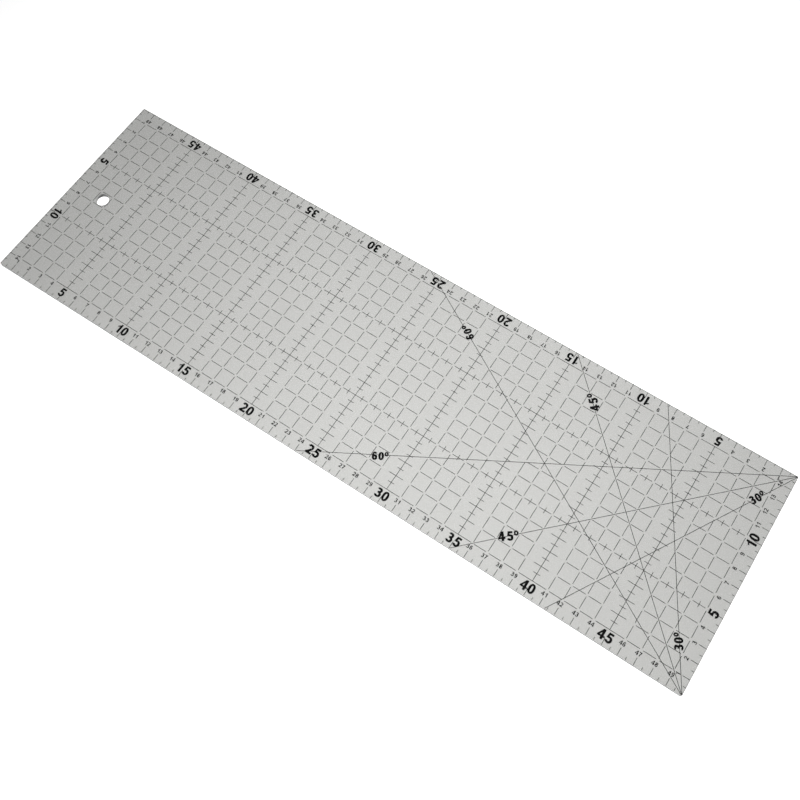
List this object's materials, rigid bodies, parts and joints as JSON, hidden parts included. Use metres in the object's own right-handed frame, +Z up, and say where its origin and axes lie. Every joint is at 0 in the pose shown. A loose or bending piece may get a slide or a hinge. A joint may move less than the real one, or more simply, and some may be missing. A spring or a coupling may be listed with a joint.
{
  "type": "quilting ruler",
  "caption": "Flat rectangular quilting ruler of clear acrylic, with printed centimetre grid, edge scales, angle lines and a hang hole.",
  "frame": {"origin": "centre of the sheet's outline, on its underside, which lies on the table", "axes": "+X along the length, away from the end with the hang hole; +Y across the width, away from the front edge, whose scale reads upright; +Z up out of the printed face"},
  "size_m": [0.5, 0.15, 0.0031],
  "materials": {
    "acrylic": "clear cast acrylic with a faint neutral grey cast, polished faces, laser-cut edges",
    "black_ink": "satin black printing ink"
  },
  "bodies": {
    "root": {"acrylic_sheet": "acrylic", "ruled_line_05_cm": "black_ink", "ruled_line_10_cm": "black_ink", "ruled_line_15_cm": "black_ink", "ruled_line_20_cm": "black_ink", "ruled_line_25_cm": "black_ink", "ruled_line_30_cm": "black_ink", "ruled_line_35_cm": "black_ink", "ruled_line_40_cm": "black_ink", "ruled_line_45_cm": "black_ink", "angle_lines": "black_ink"}
  },
  "joints": []
}
